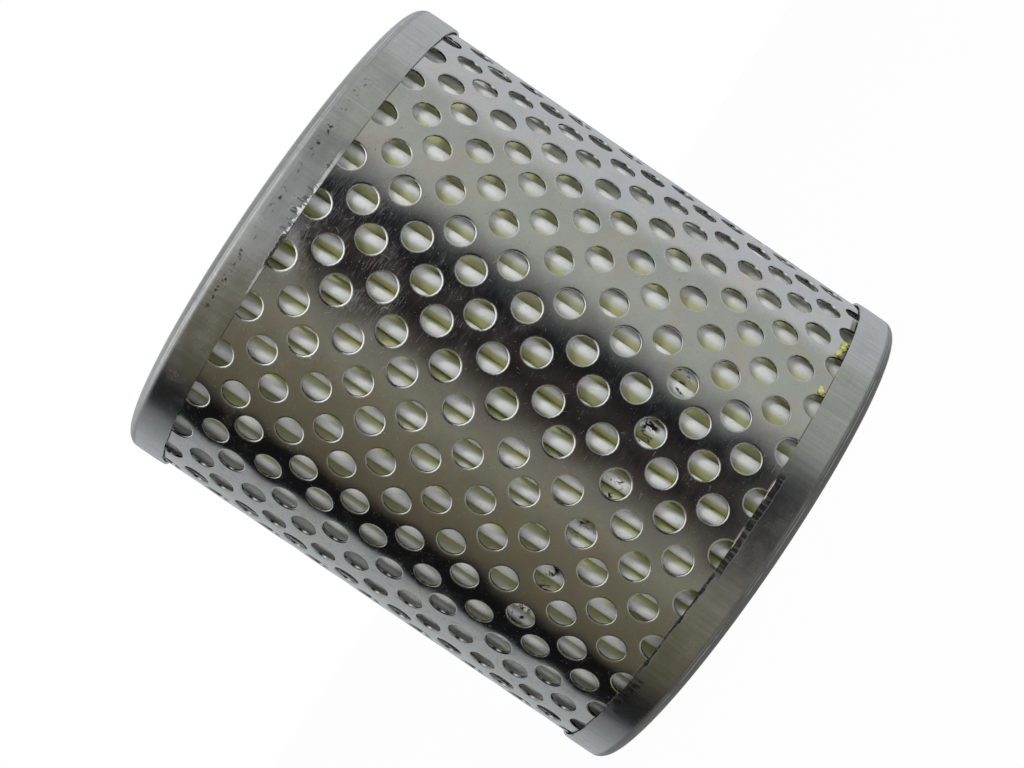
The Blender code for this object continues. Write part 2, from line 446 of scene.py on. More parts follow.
def trimmed(sheet_piece, half_length, low, high, sheet):
    """Cut the joined cells to a strip and close its edges."""
    weld(sheet_piece, outward=False)
    bpy.ops.object.mode_set(mode="EDIT")
    sides = (((half_length, 0, 0), (1, 0, 0)), ((-half_length, 0, 0), (-1, 0, 0)),
             ((0, high, 0), (0, 1, 0)), ((0, low, 0), (0, -1, 0)))
    for place, normal in sides:
        bpy.ops.mesh.select_all(action="SELECT")
        bpy.ops.mesh.bisect(plane_co=place, plane_no=normal, clear_outer=True, threshold=1e-7)
    for place, normal in sides:

        def on_cut(edge):
            level = abs(edge.verts[0].co.z - edge.verts[1].co.z) < sheet / 2
            return edge.is_boundary and level and all(
                abs((vert.co - Vector(place)).dot(Vector(normal))) < WELD / 10 for vert in edge.verts)

        pick(sheet_piece, on_cut, "edges")
        bpy.ops.mesh.bridge_edge_loops()
    bpy.ops.object.mode_set(mode="OBJECT")
    weld(sheet_piece)


def drifted(flat, half_length):
    """Shift each ring of holes by its drift, rigidly, and stretch the sheet between.

    Also says how the sheet leans in towards each hole, where the punch has dished it.
    """
    rings = np.arange(RINGS)
    heights = FIRST_RING + RING_STEP * rings
    drift = np.array(RING_DRIFT) * MM
    lean = np.zeros((len(flat), 2))
    knots = np.concatenate([[GUARD_END], heights, [HEIGHT - GUARD_END]])
    along = np.interp(flat[:, 1], knots, np.concatenate([[0], drift[:, 0], [0]]))
    up = np.interp(flat[:, 1], knots, np.concatenate([[0], drift[:, 1], [0]]))
    for ring in rings:
        first = (-26.5 if ring % 2 == 0 else -27.5) * HALF_PITCH
        column = np.clip(np.round((flat[:, 0] - first) / (2 * HALF_PITCH)), 0, HOLES_PER_RING - 1)
        centre = first + 2 * HALF_PITCH * column
        inward = np.stack([centre - flat[:, 0], heights[ring] - flat[:, 1]], 1)
        distance = np.hypot(*inward.T)
        near = distance < HOLE_RADIUS + ROLL_WIDTH + WELD
        along[near], up[near] = drift[ring]
        lean[near] = inward[near] / distance[near, None] * math.tan(DISH)
    edge = np.clip((half_length - np.abs(flat[:, 0])) / (6 * MM), 0, 1)
    return flat + np.stack([along * edge, up, np.zeros(len(flat))], 1), lean


def rolled(piece, radius, lean=None, joggled=False):
    """Roll a flat strip about Z, and turn its shading normals with it."""
    mesh = piece.data
    flat = points_of(piece)
    normals = np.empty(len(mesh.loops) * 3)
    mesh.corner_normals.foreach_get("vector", normals)
    normals = normals.reshape(-1, 3)
    corner = np.empty(len(mesh.loops), int)
    mesh.loops.foreach_get("vertex_index", corner)
    level = (flat[corner, 2] > -WELD / 10) & (normals[:, 2] > 0.3)
    normals[level] = (0, 0, 1)
    if lean is not None:
        normals[level, :2] = lean[corner[level]]
    sheet_map = mesh.uv_layers.new(name="sheet")
    sheet_map.data.foreach_set("uv", (flat[corner, :2] / MM).ravel())

    start = LAP - STRIP / 2 + GAP + LAP_JOGGLE
    drop = np.zeros(len(flat))
    slope = np.zeros(len(flat))
    if joggled:
        share = np.clip((start - flat[:, 0]) / LAP_JOGGLE, 0, 1)
        drop = LAP_DROP * share * share * (3 - 2 * share)
        slope = LAP_DROP * 6 * share * (1 - share) / LAP_JOGGLE
    angle = SEAM_ANGLE + math.pi + flat[:, 0] / radius
    reach = radius + flat[:, 2] - drop
    move_points(piece, np.stack([reach * np.cos(angle), reach * np.sin(angle), flat[:, 1]], 1))

    a, s = angle[corner], np.arctan(slope[corner])
    along = normals[:, 0] * np.cos(s) - normals[:, 2] * np.sin(s)
    out = normals[:, 0] * np.sin(s) + normals[:, 2] * np.cos(s)
    turned = np.stack([-np.sin(a) * along + np.cos(a) * out,
                       np.cos(a) * along + np.sin(a) * out, normals[:, 1]], 1)
    mesh.normals_split_custom_set(turned.tolist())
    mesh.update()


def make_guard():
    """The perforated guard, lapped at the back."""
    sizes = (HALF_PITCH, RING_STEP)
    punched = punched_cell("punched", HOLE_RADIUS, ROLL_WIDTH, ROLL_DEPTH, SHEET, *sizes, HOLE_SIDES)
    blank = blank_cell("blank", SHEET, *sizes, HOLE_SIDES)

    def at(column, ring):
        return column * HALF_PITCH, FIRST_RING + ring * RING_STEP

    # Holes in two staggered sets, then plain sheet at both ends of the strip and along its edges
    strips = [
        laid_out(punched, at(-26.5, 0), HOLES_PER_RING, 9, *sizes),
        laid_out(punched, at(-27.5, 1), HOLES_PER_RING, 8, *sizes),
        laid_out(blank, at(-30.5, 0), 2, 9, *sizes),
        laid_out(blank, at(29.5, 0), 1, 9, *sizes),
        laid_out(blank, at(-29.5, 1), 1, 8, *sizes),
        laid_out(blank, at(28.5, 1), 2, 8, *sizes),
        laid_out(blank, at(-30.5, -2), 31, 1, *sizes),
        laid_out(blank, at(-29.5, -1), 31, 1, *sizes),
        laid_out(blank, at(-29.5, 17), 31, 1, *sizes),
        laid_out(blank, at(-30.5, 18), 31, 1, *sizes),
    ]
    for spare in (punched, blank):
        bpy.data.objects.remove(spare)
    guard = join(strips, "fine_guard")
    trimmed(guard, STRIP / 2, GUARD_END, HEIGHT - GUARD_END, SHEET)
    moved, lean = drifted(points_of(guard), STRIP / 2)
    move_points(guard, moved)
    smooth(guard, 50)
    rolled(guard, GUARD_RADIUS, lean, joggled=True)
    return guard


# Centre tube

def make_tube():
    """The perforated tube inside the paper, rolled edge to edge."""
    half_pitch = math.pi * TUBE_RADIUS / TUBE_HOLES_PER_RING
    sizes = (half_pitch, TUBE_RING_STEP)
    punched = punched_cell("tube_punched", TUBE_HOLE_RADIUS, TUBE_ROLL_WIDTH, TUBE_ROLL_DEPTH, TUBE_SHEET,
                           *sizes, TUBE_HOLE_SIDES)
    blank = blank_cell("tube_blank", TUBE_SHEET, *sizes, TUBE_HOLE_SIDES)
    first_ring = MIDDLE - (TUBE_RINGS - 1) / 2 * TUBE_RING_STEP

    def at(column, ring):
        return column * half_pitch, first_ring + ring * TUBE_RING_STEP

    strips = [
        laid_out(punched, at(-10.5, 0), 11, 4, *sizes),
        laid_out(punched, at(-9.5, 1), 11, 3, *sizes),
        laid_out(blank, at(-9.5, -1), 11, 1, *sizes),
        laid_out(blank, at(-10.5, -2), 11, 1, *sizes),
        laid_out(blank, at(-9.5, 7), 11, 1, *sizes),
        laid_out(blank, at(-10.5, 8), 11, 1, *sizes),
    ]
    for spare in (punched, blank):
        bpy.data.objects.remove(spare)
    tube = join(strips, "fine_tube")
    trimmed(tube, math.pi * TUBE_RADIUS - TUBE_SEAM / 2, TUBE_END, HEIGHT - TUBE_END, TUBE_SHEET)
    smooth(tube, 40)
    rolled(tube, TUBE_RADIUS)
    return tube


# Paper

def make_pleats():
    """One sheet of paper folded to a star.

    The crests lean over, away from the front, and stand nearer to the guard at the sides and back.
    """
    crest = CREST_RADIUS - PAPER / 2
    root = ROOT_RADIUS + PAPER / 2
    # Half a fold from crest to root: share of a pleat from its middle, and depth in millimetres
    half = [(place, crest - depth * MM) for place, depth in (
        (0.06, 0.02), (0.12, 0.08), (0.175, 0.23), (0.217, 0.5), (0.254, 0.8), (0.294, 1.15), (0.336, 1.5),
        (0.372, 1.85), (0.41, 2.3), (0.41, 3.0), (0.405, 4.5), (0.405, 8.0))]
    half += [(0.38, root + 1.2 * MM), (0.40, root + 0.25 * MM), (0.50, root)]
    fold = [(-place, reach) for place, reach in reversed(half[:-1])] + half
    share = math.tau / PLEATS
    fold.append((fold[0][0] + 1.0, fold[0][1]))
    pack = drawn_line("fine_pleats", [
        (reach * math.cos(place * share), reach * math.sin(place * share), PLEAT_END)
        for place, reach in fold])
    bpy.ops.mesh.spin(steps=PLEATS, angle=math.tau, dupli=True, center=(0, 0, 0), axis=(0, 0, 1))
    bpy.ops.mesh.select_all(action="SELECT")
    bpy.ops.mesh.remove_doubles(threshold=WELD)
    for _ in range(PLEAT_ROWS):
        bpy.ops.mesh.extrude_region_move(
            TRANSFORM_OT_translate={"value": (0, 0, (HEIGHT - 2 * PLEAT_END) / PLEAT_ROWS)})
    bpy.ops.mesh.select_all(action="SELECT")
    bpy.ops.mesh.normals_make_consistent(inside=False)
    bpy.ops.object.mode_set(mode="OBJECT")

    points = points_of(pack)
    reach = np.hypot(points[:, 0], points[:, 1])
    angle = np.arctan2(points[:, 1], points[:, 0])
    height = points[:, 2] / HEIGHT
    place = (-angle / share) % PLEATS
    steps = np.arange(len(SEEN_CRESTS), PLEATS)
    hidden = 360 + SEEN_CRESTS[0] - SEEN_CRESTS[-1]
    even = (steps - len(SEEN_CRESTS) + 1) / (PLEATS - len(SEEN_CRESTS) + 1)
    rest = SEEN_CRESTS[-1] + hidden * even + 0.35 * np.sin(2.1 * steps) + 0.25 * np.sin(3.7 * steps + 1)
    crests = np.concatenate([SEEN_CRESTS, rest, [SEEN_CRESTS[0] + 360]])
    facing = np.interp(place, np.arange(PLEATS + 1), crests)
    lean = np.interp((crest - reach) / MM, [0.5, 0.8, 1.15, 1.5, 1.85, 2.3, 3.0, 4.5, 8.0],
                     [0.0, 0.026, 0.056, 0.094, 0.13, 0.16, 0.15, 0.095, 0.0])
    side = np.clip(np.sin(np.radians(facing)) * 12, -1, 1)
    facing = facing - lean * side * 360 / PLEATS
    sway = 1.2 * (0.76 - height)
    sway = sway + 0.30 * np.sin(5 * height + 3 * angle) + 0.18 * np.sin(11 * height + 7 * angle)
    angle = np.radians(-90 - facing + sway)
    beside = np.clip((0.5 - np.cos(np.radians(facing))) / 0.22, 0, 1)
    sink = 0.10 * (1 + np.sin(9 * angle + 4 * height)) - 0.95 * beside
    reach = reach - sink * MM * (reach - root) / (crest - root)
    move_points(pack, np.stack([reach * np.cos(angle), reach * np.sin(angle), points[:, 2]], 1))
    wall = take(pack).modifiers.new("paper", "SOLIDIFY")
    wall.thickness = PAPER
    wall.offset = 0.0
    bpy.ops.object.modifier_apply(modifier=wall.name)
    smooth(pack, 50)
    return pack


# Turned pieces

def turned_sheet(name, section, steps, sheet=None):
    """Spin a section about Z: a closed ring, or a sheet of given thickness."""
    piece = drawn_line(name, [(reach, 0.0, height) for reach, height in section])
    if sheet is None:
        pick(piece, lambda vert: min((vert.co.xz - Vector(point)).length
                                     for point in (section[0], section[-1])) < WELD / 10)
        bpy.ops.mesh.edge_face_add()
    bpy.ops.mesh.select_all(action="SELECT")
    bpy.ops.mesh.spin(steps=steps, angle=math.tau, center=(0, 0, 0), axis=(0, 0, 1))
    bpy.ops.object.mode_set(mode="OBJECT")
    weld(piece)
    if sheet is not None:
        mesh = piece.data
        edge_face = min(mesh.polygons, key=lambda face: abs(face.center.z - section[0][1]))
        if edge_face.normal.dot(Vector((edge_face.center.x, edge_face.center.y, 0))) <= 0:
            mesh.flip_normals()
        wall = take(piece).modifiers.new("sheet", "SOLIDIFY")
        wall.thickness = sheet
        wall.offset = -1.0
        wall.use_even_offset = True
        bpy.ops.object.modifier_apply(modifier=wall.name)
    return piece


def arc(centre, radius, start, end, steps):
    """Points of a corner in a section, in degrees, without its first one."""
    angles = [math.radians(start + (end - start) * i / steps) for i in range(1, steps + 1)]
    return [(centre[0] + radius * math.cos(a), centre[1] + radius * math.sin(a)) for a in angles]


def flipped(section):
    """The same section for the upper end."""
    return [(reach, HEIGHT - height) for reach, height in section]


def cap_section():
    """Outer side of the lower cap, from the skirt's edge to the collar's end."""
    line = [(SKIRT_RADIUS - 0.06 * MM, SKIRT_HEIGHT), (SKIRT_RADIUS - 0.03 * MM, SKIRT_HEIGHT - 0.5 * MM),
            (SKIRT_RADIUS - 0.01 * MM, SKIRT_HEIGHT - 1.0 * MM), (SKIRT_RADIUS, SKIRT_HEIGHT - 1.6 * MM),
            (SKIRT_RADIUS, SKIRT_HEIGHT - 3.4 * MM), (SKIRT_RADIUS, CORNER_RADIUS + 0.6 * MM),
            (SKIRT_RADIUS - 0.02 * MM, CORNER_RADIUS)]
    line += arc((SKIRT_RADIUS - CORNER_RADIUS, CORNER_RADIUS), CORNER_RADIUS, 0, -90, 8)
    line += [(40.5 * MM, 0.0), (RIM_INNER, 0.0)]
    line += arc((RIM_INNER, PRESS_RADIUS), PRESS_RADIUS, -90, -140, 3)
    line += [(RIM_INNER - 1.4 * MM, 1.25 * MM)]
    line += arc((RIM_INNER - 2.0 * MM, RECESS_DEPTH - PRESS_RADIUS), PRESS_RADIUS, 40, 90, 3)
    line += [(33.0 * MM, RECESS_DEPTH), (29.0 * MM, RECESS_DEPTH)]
    line += [(COLLAR_BORE + COLLAR_RADIUS, RECESS_DEPTH)]
    line += [(COLLAR_BORE + COLLAR_RADIUS * (1 - math.sin(math.radians(a))),
              RECESS_DEPTH + COLLAR_RADIUS * (1 - math.cos(math.radians(a)))) for a in (30, 60, 90)]
    line += [(COLLAR_BORE, 4.0 * MM), (COLLAR_BORE, COLLAR_END)]
    return line


def make_cap(name, section):
    """A pressed end cap."""
    cap = turned_sheet(name, section, CAP_STEPS, SHEET)
    smooth(cap, 35)
    return cap


def seal_section():
    """Rubber ring: a body in the collar, a flange in the recess and a lip in the bore."""
    return [(reach * MM, height * MM) for reach, height in (
        (27.0, 1.15), (27.0, 0.55), (26.85, 0.4), (23.0, 0.4), (19.9, 0.4), (19.6, 0.7), (19.6, 2.7),
        (19.1, 3.2), (18.85, 3.5), (19.1, 3.8), (19.6, 4.3), (19.6, 6.4), (19.8, 6.6), (23.2, 6.6),
        (23.4, 6.4), (23.4, 1.3), (26.85, 1.3))]


def make_seal(name, section):
    """A moulded seal ring."""
    ring = turned_sheet(name, section, SEAL_STEPS)
    smooth(ring, 50)
    return ring


# Adhesive crumbs

def make_crumbs():
    """Small lumps of adhesive that squeezed out at the lower skirt's edge."""
    crumbs = []
    for facing, height, size in ((-52.4, 8.05, 0.60), (-51.0, 8.0, 0.52), (-48.6, 8.35, 0.55),
                                 (-49.6, 8.2, 0.36), (-36.2, 8.05, 0.56), (-37.0, 8.3, 0.38)):
        clear_selection()
        bpy.ops.mesh.primitive_ico_sphere_add(subdivisions=4, radius=size * MM)
        crumb = named("glue_crumbs")
        points = points_of(crumb)
        unit = points / np.linalg.norm(points, axis=1, keepdims=True)
        swell = [1 + 0.35 * noise.noise(Vector(row) * 1.6 + Vector((facing, height, 0))) +
                 0.12 * noise.noise(Vector(row) * 5 + Vector((height, facing, 0))) for row in unit]
        points = points * np.array(swell)[:, None] * (1, 0.7, 1)
        angle = math.radians(-90 - facing)
        out = np.array([math.cos(angle), math.sin(angle), 0])
        side = np.array([-math.sin(angle), math.cos(angle), 0])
        seat = out * (GUARD_RADIUS + 0.1 * MM) + np.array([0, 0, height * MM])
        move_points(crumb, seat + points[:, :1] * side - points[:, 1:2] * out + points[:, 2:] * (0, 0, 1))
        crumbs.append(crumb)
    crumbs = join(crumbs, "glue_crumbs")
    smooth(crumbs, 60)
    return crumbs


# Materials

def tinplate():
    """Bright rolled sheet of the guard, with fine scratches and handling marks."""
    f = Finish("tinplate")
    sheet = f.node("UVMap", {"uv_map": "sheet"})
    x, y, z = f.parts(f.place())
    facing = f.facing(x, y)

    def on_sheet(scale, degrees=0.0, move=0.0):
        return f.node("Mapping", None, {"Vector": sheet, "Scale": scale, "Location": (move, move, move),
                                        "Rotation": (0, 0, math.radians(degrees))})

    def rubbed(degrees, length, width, low, high, seed):
        where = on_sheet((1 / length, 1 / width, 1), degrees, seed)
        return f.rise(f.noise(where, 1.0, 1.0, 0.4, 0.3), low, high)

    def hairs(size, width, seed):
        line = f.apart(f.noise(on_sheet((size, size, 1), 0, seed), 1.0, 0.0), 0.5)
        broken = f.rise(f.noise(on_sheet((size * 2.3, size * 2.3, 1), 0, seed + 7), 1.0, 1.0), 0.63, 0.66)
        return (1 - f.rise(line, width * 0.3, width)) * broken

    # Cloudiness at several sizes, then scratches, dust and the shade under the lower cap's edge
    wave = f.noise(on_sheet((0.055, 0.055, 1)), 1.0, 1.0)
    haze = f.noise(on_sheet((0.16, 0.22, 1), 20), 1.0, 5.0, 0.62, 0.4)
    stain = f.noise(on_sheet((0.5, 0.4, 1), 70), 1.0, 6.0, 0.7, 0.6)
    grain = f.noise(on_sheet((2.6, 2.6, 1)), 1.0, 4.0, 0.75)
    lines = rubbed(24, 2.2, 0.035, 0.66, 0.76, 3.1) + rubbed(-38, 3.0, 0.04, 0.67, 0.77, 9.4)
    lines = lines + rubbed(81, 2.5, 0.035, 0.67, 0.77, 17.8) + rubbed(118, 3.5, 0.04, 0.68, 0.77, 27.2)
    bold = rubbed(62, 1.6, 0.06, 0.80, 0.84, 41.0) + rubbed(-12, 2.0, 0.06, 0.80, 0.84, 53.0)
    bold = bold + 0.7 * hairs(0.33, 0.010, 5.0) + 0.7 * hairs(0.24, 0.008, 23.0)
    dots = f.node("TexVoronoi", {"feature": "F1"}, {"Vector": on_sheet((1.5, 1.5, 1)), "Scale": 1.0,
                                                    "Randomness": 1.0}, "Distance")
    dust = 1 - f.rise(dots, 0.045, 0.09)
    specks = f.rise(grain, 0.62, 0.74) * f.rise(haze, 0.40, 0.62)
    shade = (1 - f.rise(z + (grain - 0.5) * 0.0006, 0.0080, 0.0084)) * f.within(facing, -66, -44, 3)
    colour = f.mix(f.rise(haze, 0.35, 0.7), (0.56, 0.57, 0.565), (0.61, 0.615, 0.60))
    colour = f.mix(f.rise(stain, 0.60, 0.75) * 0.5, colour, (0.48, 0.45, 0.40))
    colour = f.mix(f.rise(f.noise(on_sheet((0.13, 0.20, 1), -35, 60), 1.0, 4.0, 0.6, 0.8), 0.50, 0.66) * 0.45,
                   colour, (0.62, 0.54, 0.46))
    worn = f.rise(facing, 48, 56)
    colour = f.mix(f.rise(grain, 0.50, 0.66) * (0.26 + 0.34 * worn), colour, (0.40, 0.385, 0.36))
    colour = f.mix(f.rise(stain, 0.50, 0.66) * worn * 0.35, colour, (0.36, 0.34, 0.31))
    colour = f.mix(f.rise(f.noise(on_sheet((1.7, 1.7, 1), 0, 80), 1.0, 2.0, 0.6), 0.70, 0.74) * 0.7, colour,
                   (0.16, 0.15, 0.14))
    colour = f.mix(dust * 0.5 + bold * 0.3, colour, (0.80, 0.81, 0.82))
    colour = f.mix(shade * 0.85, colour, (0.12, 0.12, 0.10))
    reach = (x * x + y * y) ** 0.5
    # Painted shade: the inner face of the sheet and the lower part of each hole's wall are coloured dark.
    face = f.rise(reach, GUARD_RADIUS - 0.28 * MM, GUARD_RADIUS - 0.14 * MM)
    colour = f.mix(face, (0.20, 0.20, 0.19), colour)
    # Scratches and dust are duller than the sheet, and the back has a row of spot welds
    rough = 0.08 + 0.085 * f.rise(haze, 0.45, 0.68) + 0.05 * f.rise(stain, 0.45, 0.7) + 0.16 * specks
    rough = rough + 0.08 * lines + 0.28 * bold + 0.32 * dust
    along, up, _ = f.parts(sheet)
    past = f.node("Math", {"operation": "PINGPONG"}, {0: up - 3, 1: 6.5})
    weld_mark = 1 - f.rise((past * past + (along - (STRIP - LAP) / 2 / MM) ** 2) ** 0.5, 0.7, 1.3)
    normal = f.relief(wave, 0.0006)
    normal = f.relief(1 - weld_mark, 0.00012, normal)
    normal = f.relief(lines + bold, 0.0000012, normal)
    normal = f.relief(grain, 0.0000025, normal)
    return f.surface(Base_Color=colour, Roughness=rough, Metallic=1.0, Normal=normal)


def cap_steel():
    """Dull sheet of the end caps, bruised along the skirt's edge where it was crimped shut, with highlights
    and shade painted in.
    """
    f = Finish("cap_steel")
    x, y, z = f.parts(f.place())
    facing = f.facing(x, y)
    inward = f.apart(z, MIDDLE) / MM - (MIDDLE - SKIRT_HEIGHT) / MM
    upper = f.rise(z, 0.048, 0.049)
    lower = 1 - upper
    jag = f.noise(f.place((1, 1, 0.2)), 1500, 3, 0.7)
    bend = f.noise(f.place((1, 1, 0.2), (0, 0, 0), (3, 3, 3)), 340, 2, 0.5)
    stroke = f.noise(f.place((1, 1, 0.14), (0, 0, 0), (5, 5, 5)), 2500, 2, 0.6)

    def lip(start, end, width, soft=0.8, ragged=0.5):
        edge = inward + (jag - 0.5) * ragged + (bend - 0.5) * ragged * 2
        return f.within(facing, start, end, soft) * (1 - f.rise(edge, width, width + 0.12))

    def most(first, second):
        return f.node("Math", {"operation": "MAXIMUM"}, {0: first, 1: second})

    # Marks along the skirts' edges, each over its own stretch, some of them painted highlights
    crushed = lower * most(lip(-15.5, 8.5, 1.1, 1.2, 0.35), lip(8, 35, 0.26, 1.5, 0.5))
    # Painted highlight: a pale line along the lower skirt's edge.
    edge_light = lower * most(lip(-13.5, -9, 0.05, 0.6, 0.2), lip(-2.3, 2.4, 0.05, 0.5, 0.2))
    hatch = f.rise(stroke, 0.50, 0.58)
    smudge = lower * lip(37, 51, 1.6, 1.5, 1.8) * hatch
    # Painted highlight: a bright band along the upper skirt's edge.
    upper_edge_highlight = upper * lip(-19, -11.5, 0.50, 2.0, 0.3)
    # Chatter facets on the upper skirt's edge, painted near white further down as glints.
    facet_glints = upper * lip(-12.5, 1.0, 0.35, 0.6, 1.6) * f.rise(stroke, 0.44, 0.50)
    strokes = upper * lip(-17, 0.5, 1.4, 2.0, 2.4) * hatch
    soiled = upper * lip(0.5, 8.0, 0.42, 0.6, 0.9)
    sparkle = f.rise(f.noise(f.place(), 2600, 2, 0.6), 0.66, 0.70)
    wedge = upper * lip(8.4, 14.5, 0.30, 0.8, 0.4)
    # The sheet itself, with dark dabs, two bright rings painted round its corner as highlights, and painted
    # shade over the corner and on one side
    brush = f.noise(f.place((0.02, 0.02, 1)), 4200, 3, 0.65)
    streak = f.noise(f.place((1, 1, 0.05), (0, 0, 0), (7, 7, 7)), 1300, 4, 0.7)
    grain = f.noise(f.place((1, 1, 1.6)), 2300, 3, 0.75)
    cloud = f.noise(f.place((1, 1, 1.5)), 150, 5, 0.6)
    smear = f.noise(f.place((0.5, 0.5, 1)), 420, 4, 0.6, 0.3)
    dab = f.rise(f.noise(f.place((1, 1, 1), (0, 0, 0), (9, 9, 9)), 1150, 3, 0.65), 0.56, 0.62)
    dabs = upper * f.within(inward, 3.6, 4.6, 0.25) * f.within(facing, -36, 22, 3) * dab
    # Painted highlights: two bright rings round the corner.
    corner_highlights = most(f.within(inward, 5.72, 5.78, 0.05), f.within(inward, 6.15, 6.25, 0.08))
    corner_highlights = corner_highlights * f.rise(smear, 0.38, 0.55) * f.within(facing, -70, 40, 6)
    # Painted shade: the corner and end face are coloured darker, more so on the lower cap.
    rim = f.rise(inward, 5.1, 5.8)
    colour = f.mix(f.rise(cloud, 0.35, 0.7), (0.49, 0.505, 0.505), (0.56, 0.565, 0.555))
    colour = f.mix(f.rise(smear, 0.56, 0.72) * 0.35, colour, (0.36, 0.36, 0.34))
    colour = f.mix(f.rise(grain, 0.50, 0.72) * 0.30, colour, (0.34, 0.34, 0.33))
    colour = f.mix(f.rise(brush, 0.50, 0.75) * 0.18, colour, (0.68, 0.69, 0.68))
    colour = f.mix(f.rise(streak, 0.46, 0.64) * 0.30, colour, (0.36, 0.36, 0.35))
    colour = f.mix((1 - f.rise(streak, 0.34, 0.46)) * 0.25, colour, (0.70, 0.71, 0.70))
    colour = f.mix(rim * (0.45 + 0.4 * lower), colour, (0.17, 0.17, 0.17))
    # Painted shade: the side facing 46 to 62 degrees is darkened.
    colour = f.mix(f.within(facing, 46, 62, 6) * (1 - rim) * 0.55, colour, (0.25, 0.25, 0.25))
    colour = f.mix(corner_highlights * 0.7, colour, (0.80, 0.81, 0.80))
    colour = f.mix(dabs * 0.9, colour, (0.05, 0.05, 0.05))
    colour = f.mix(smudge * 0.7, colour, (0.03, 0.03, 0.03))
    colour = f.mix(crushed * (0.95 - 0.35 * f.rise(stroke, 0.50, 0.66)), colour, (0.035, 0.035, 0.037))
    colour = f.mix(strokes * 0.75, colour, (0.10, 0.12, 0.15))
    colour = f.mix(soiled * (1 - sparkle) * 0.9, colour, (0.07, 0.07, 0.075))
    # Painted highlights along both skirts' edges.
    colour = f.mix(edge_light, colour, (0.72, 0.69, 0.52))
    colour = f.mix(upper_edge_highlight * 0.8, colour, (0.85, 0.86, 0.85))
    # Painted highlights: the chatter facets, a wedge of the upper edge and specks in the soiled band are
    # painted near white, as glints on the metal.
    white = most(facet_glints, most(wedge * 0.45, soiled * sparkle))
    colour = f.mix(white, colour, (0.88, 0.90, 0.91))
    rough = 0.16 + 0.08 * f.rise(cloud, 0.4, 0.7) + 0.10 * grain + 0.12 * rim
    rough = rough + 0.20 * crushed + 0.20 * upper_edge_highlight + 0.25 * white
    normal = f.relief(brush, 0.000008)
    normal = f.relief(grain, 0.000006, normal)
    normal = f.relief(stroke * most(crushed, strokes) + jag * soiled, 0.00008, normal)
    film = upper * f.within(facing, -17.5, 8, 5)
    metal = 1 - most(0.75 * most(white, edge_light), 0.38 * film)
    return f.surface(Base_Color=colour, Roughness=rough, Metallic=metal, Normal=normal)


def tube_steel():
    """Plain sheet of the centre tube."""
    f = Finish("tube_steel")
    cloud = f.noise(f.place(), 180, 4, 0.6)
    colour = f.mix(cloud, (0.36, 0.36, 0.35), (0.46, 0.46, 0.45))
    return f.surface(Base_Color=colour, Roughness=0.38 + 0.15 * cloud, Metallic=1.0,
                     Normal=f.relief(cloud, 0.00002))


def filter_paper():
    """Resin-treated paper, white on the crests, with painted shade that turns the folds olive, painted light
    that makes their bottoms paler, and a few soot marks.
    """
    f = Finish("filter_paper")
    x, y, z = f.parts(f.place())
    reach = (x * x + y * y) ** 0.5
    fibre = f.noise(f.place((1, 1, 0.4)), 1500, 4, 0.65)
    cloud = f.noise(f.place((1, 1, 0.6)), 320, 3, 0.55)
    beads = f.rise(f.noise(f.place((1, 1, 0.8)), 2600, 1, 0.4), 0.66, 0.76)
    depth = (CREST_RADIUS - reach) / MM
    # Painted shade: the folds turn olive below the crests, and painted light makes their deepest part paler
    # again.
    colour = f.mix(f.rise(depth, 1.75, 3.55), (0.70, 0.71, 0.40), (0.88, 0.88, 0.56))
    colour = f.mix(f.rise(depth, 0.45, 1.25), (0.91, 0.925, 0.90), colour)
    colour = f.mix(f.rise(cloud, 0.45, 0.75) * 0.16, colour, (0.55, 0.56, 0.50))
    colour = f.mix(f.rise(fibre, 0.45, 0.8) * 0.15, colour, (0.60, 0.60, 0.50))
    soot = (1 - f.rise(f.apart(z, 27.5 * MM), 0.8 * MM, 2.0 * MM)) * f.within(f.facing(x, y), -27, 51, 3)
    rag = f.noise(f.place((1, 1, 0.7)), 520, 5, 0.75, 0.5)
    colour = f.mix(soot * f.rise(rag, 0.53, 0.585), colour, (0.015, 0.015, 0.016))
    normal = f.relief(fibre, 0.00003)
    normal = f.relief(beads, 0.00006, normal)
    return f.surface(Base_Color=colour, Roughness=0.34 + 0.25 * fibre, Specular_IOR_Level=0.15, Normal=normal)


def adhesive():
    """Cured yellow adhesive."""
    f = Finish("adhesive")
    cloud = f.noise(f.place(), 300, 4, 0.6)
    colour = f.mix(f.rise(cloud, 0.35, 0.65), (0.50, 0.50, 0.09), (0.70, 0.72, 0.28))
    return f.surface(Base_Color=colour, Roughness=0.3 + 0.3 * cloud, Normal=f.relief(cloud, 0.0001))


def rubber():
    """Moulded black rubber."""
    f = Finish("rubber")
    bloom = f.noise(f.place(), 500, 5, 0.6)
    colour = f.mix(bloom, (0.018, 0.018, 0.018), (0.035, 0.035, 0.034))
    return f.surface(Base_Color=colour, Roughness=0.5 + 0.2 * bloom, Normal=f.relief(bloom, 0.00002))


# Room and camera

